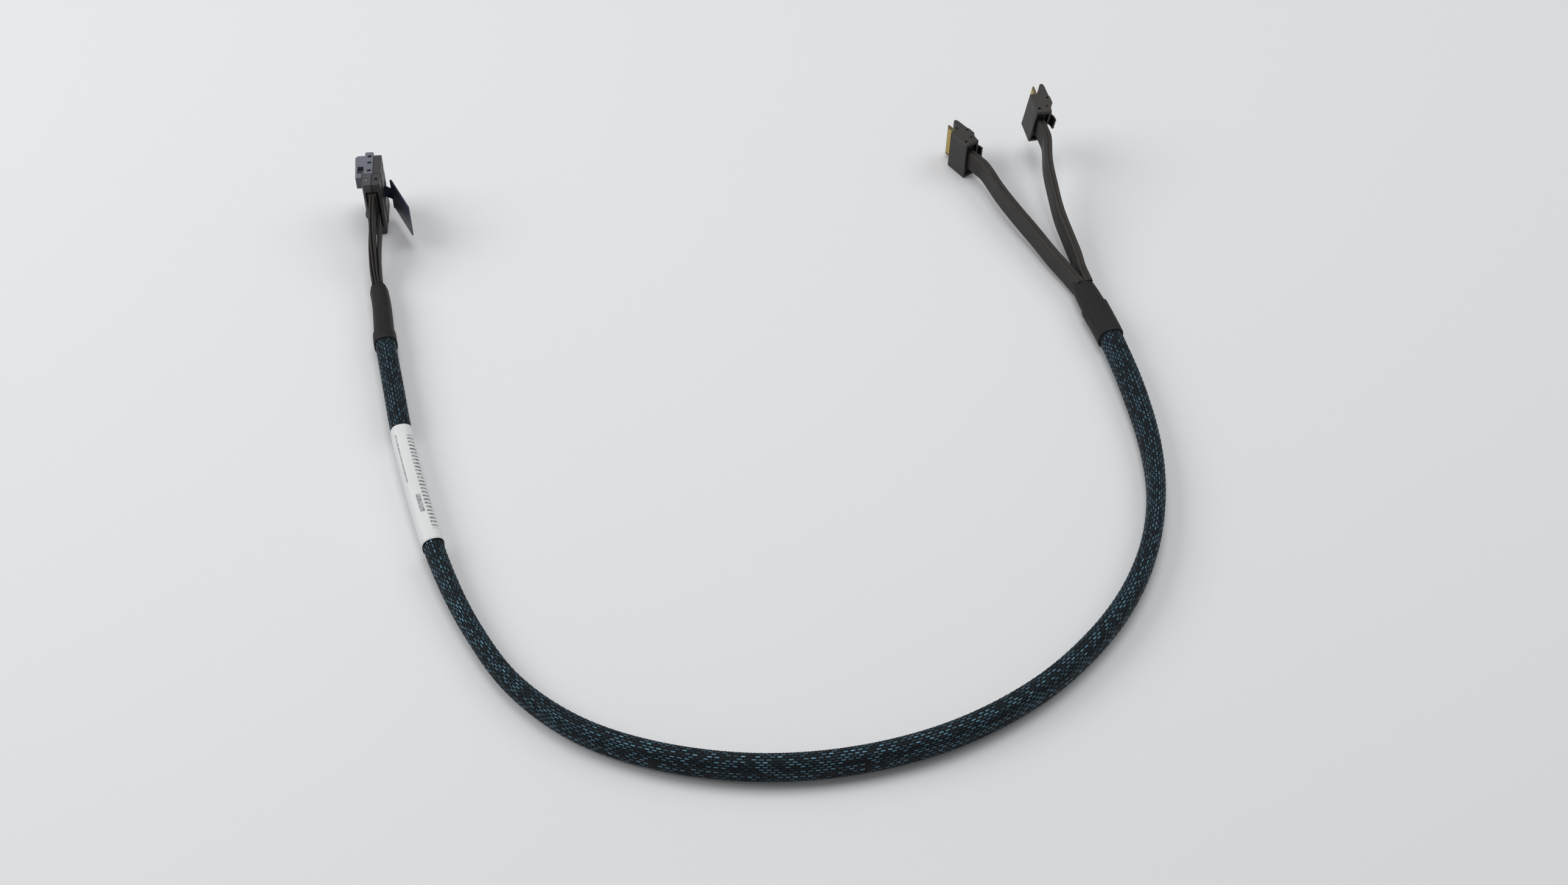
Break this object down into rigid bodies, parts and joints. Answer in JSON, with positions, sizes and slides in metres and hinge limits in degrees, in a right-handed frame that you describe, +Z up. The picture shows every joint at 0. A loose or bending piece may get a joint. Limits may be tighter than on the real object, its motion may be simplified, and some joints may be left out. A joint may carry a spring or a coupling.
{
  "type": "pcie backplane cable",
  "caption": "Breakout cable for card slots: a wide latching plug, a braided cable lying in a U, and narrow latching plugs on flat ribbon legs.",
  "frame": {"origin": "middle of the plugs' footprint on the table top they lie on", "axes": "+X from the wide plug towards the narrow plugs, +Y away from the bend of the U, +Z up from the table"},
  "size_m": [0.396, 0.4082, 0.0406],
  "materials": {
    "black_plastic": "fine matt",
    "grey_plastic": "matt, bluish grey",
    "dark_grey_plastic": "matt",
    "navy_plastic": "semi-gloss",
    "boot_rubber": "matt",
    "contact_card": "gold pads on a card",
    "steel_pin": "satin",
    "ribbon": "matt, soft",
    "heat_shrink": "matt",
    "braid": "woven, dark with pale blue flecks",
    "label": "white film"
  },
  "bodies": {
    "cable": {"wide_front_housing": "grey_plastic", "wide_latch_cover": "dark_grey_plastic", "wide_left_shell": "grey_plastic", "wide_right_shell": "dark_grey_plastic", "wide_left_rivet_bottom": "steel_pin", "wide_left_rivet_top": "steel_pin", "wide_right_rivet_bottom": "steel_pin", "wide_right_rivet_top": "steel_pin", "wide_inner_mould": "boot_rubber", "wide_paddle_card": "contact_card", "near_housing": "black_plastic", "near_inner_mould": "boot_rubber", "near_paddle_card": "contact_card", "near_latch_pin": "steel_pin", "near_rear_pin_top": "steel_pin", "near_rear_pin_bottom": "steel_pin", "far_housing": "black_plastic", "far_inner_mould": "boot_rubber", "far_paddle_card": "contact_card", "far_latch_pin": "steel_pin", "far_rear_pin_top": "steel_pin", "far_rear_pin_bottom": "steel_pin", "lead_ribbon_1": "ribbon", "lead_ribbon_2": "ribbon", "lead_ribbon_3": "ribbon", "lead_ribbon_4": "ribbon", "left_heat_shrink": "heat_shrink", "braided_sleeve": "braid", "left_shrink_band": "heat_shrink", "label_wrap": "label", "y_collar": "heat_shrink", "y_heat_shrink": "heat_shrink", "near_leg": "ribbon", "far_leg": "ribbon"},
    "near_latch": {"near_press_latch": "black_plastic"},
    "far_latch": {"far_press_latch": "black_plastic"},
    "wide_latch": {"wide_latch_plate": "steel_pin", "wide_pull_tab": "navy_plastic"}
  },
  "joints": [
    {"name": "near_latch_press", "type": "hinge", "parent": "cable", "child": "near_latch", "pos_m": [0.13271, 0.02859, 0.0111], "axis": [0, 0, 1], "range_deg": [-6, 0], "stiffness_Nm_per_rad": 0.02},
    {"name": "far_latch_press", "type": "hinge", "parent": "cable", "child": "far_latch", "pos_m": [0.17213, 0.03766, 0.02815], "axis": [0.0942, -0.1273, 0.9874], "range_deg": [-6, 0], "stiffness_Nm_per_rad": 0.02},
    {"name": "wide_latch_pull", "type": "slide", "parent": "cable", "child": "wide_latch", "axis": [0.1132, -0.9936, 0], "range_m": [0, 0.0015], "stiffness_N_per_m": 500}
  ]
}
